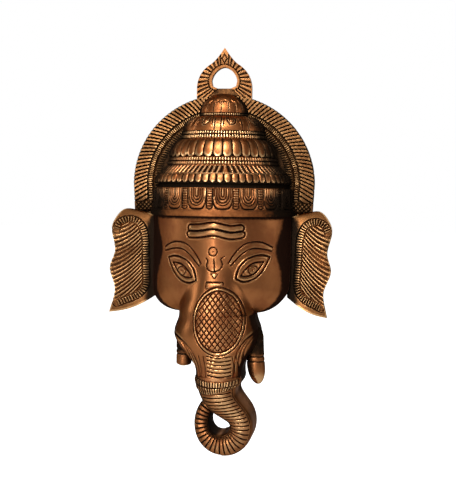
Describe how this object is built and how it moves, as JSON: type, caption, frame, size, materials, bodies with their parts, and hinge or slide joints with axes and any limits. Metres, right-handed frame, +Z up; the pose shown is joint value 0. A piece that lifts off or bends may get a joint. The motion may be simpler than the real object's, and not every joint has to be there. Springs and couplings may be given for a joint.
{
  "type": "ganesha mask",
  "caption": "Wall-hung cast mask of an elephant head with a tall stepped crown, ribbed halo plate, leaf ears and a curled trunk, hollow at the back.",
  "frame": {"origin": "the point at the top of the hanging eye, on the back plane, that bears on the hook", "axes": "+Z up along the mask, -Y out of the wall towards the viewer (the front), +X to the viewer's right; the flat back lies in the plane Y = 0"},
  "size_m": [0.1391, 0.0418, 0.2506],
  "materials": {
    "antique_copper": "antique copper wash with dark recesses and rubbed highlights over cast alloy, satin"
  },
  "bodies": {
    "root": {"mask": "antique_copper"}
  },
  "joints": []
}
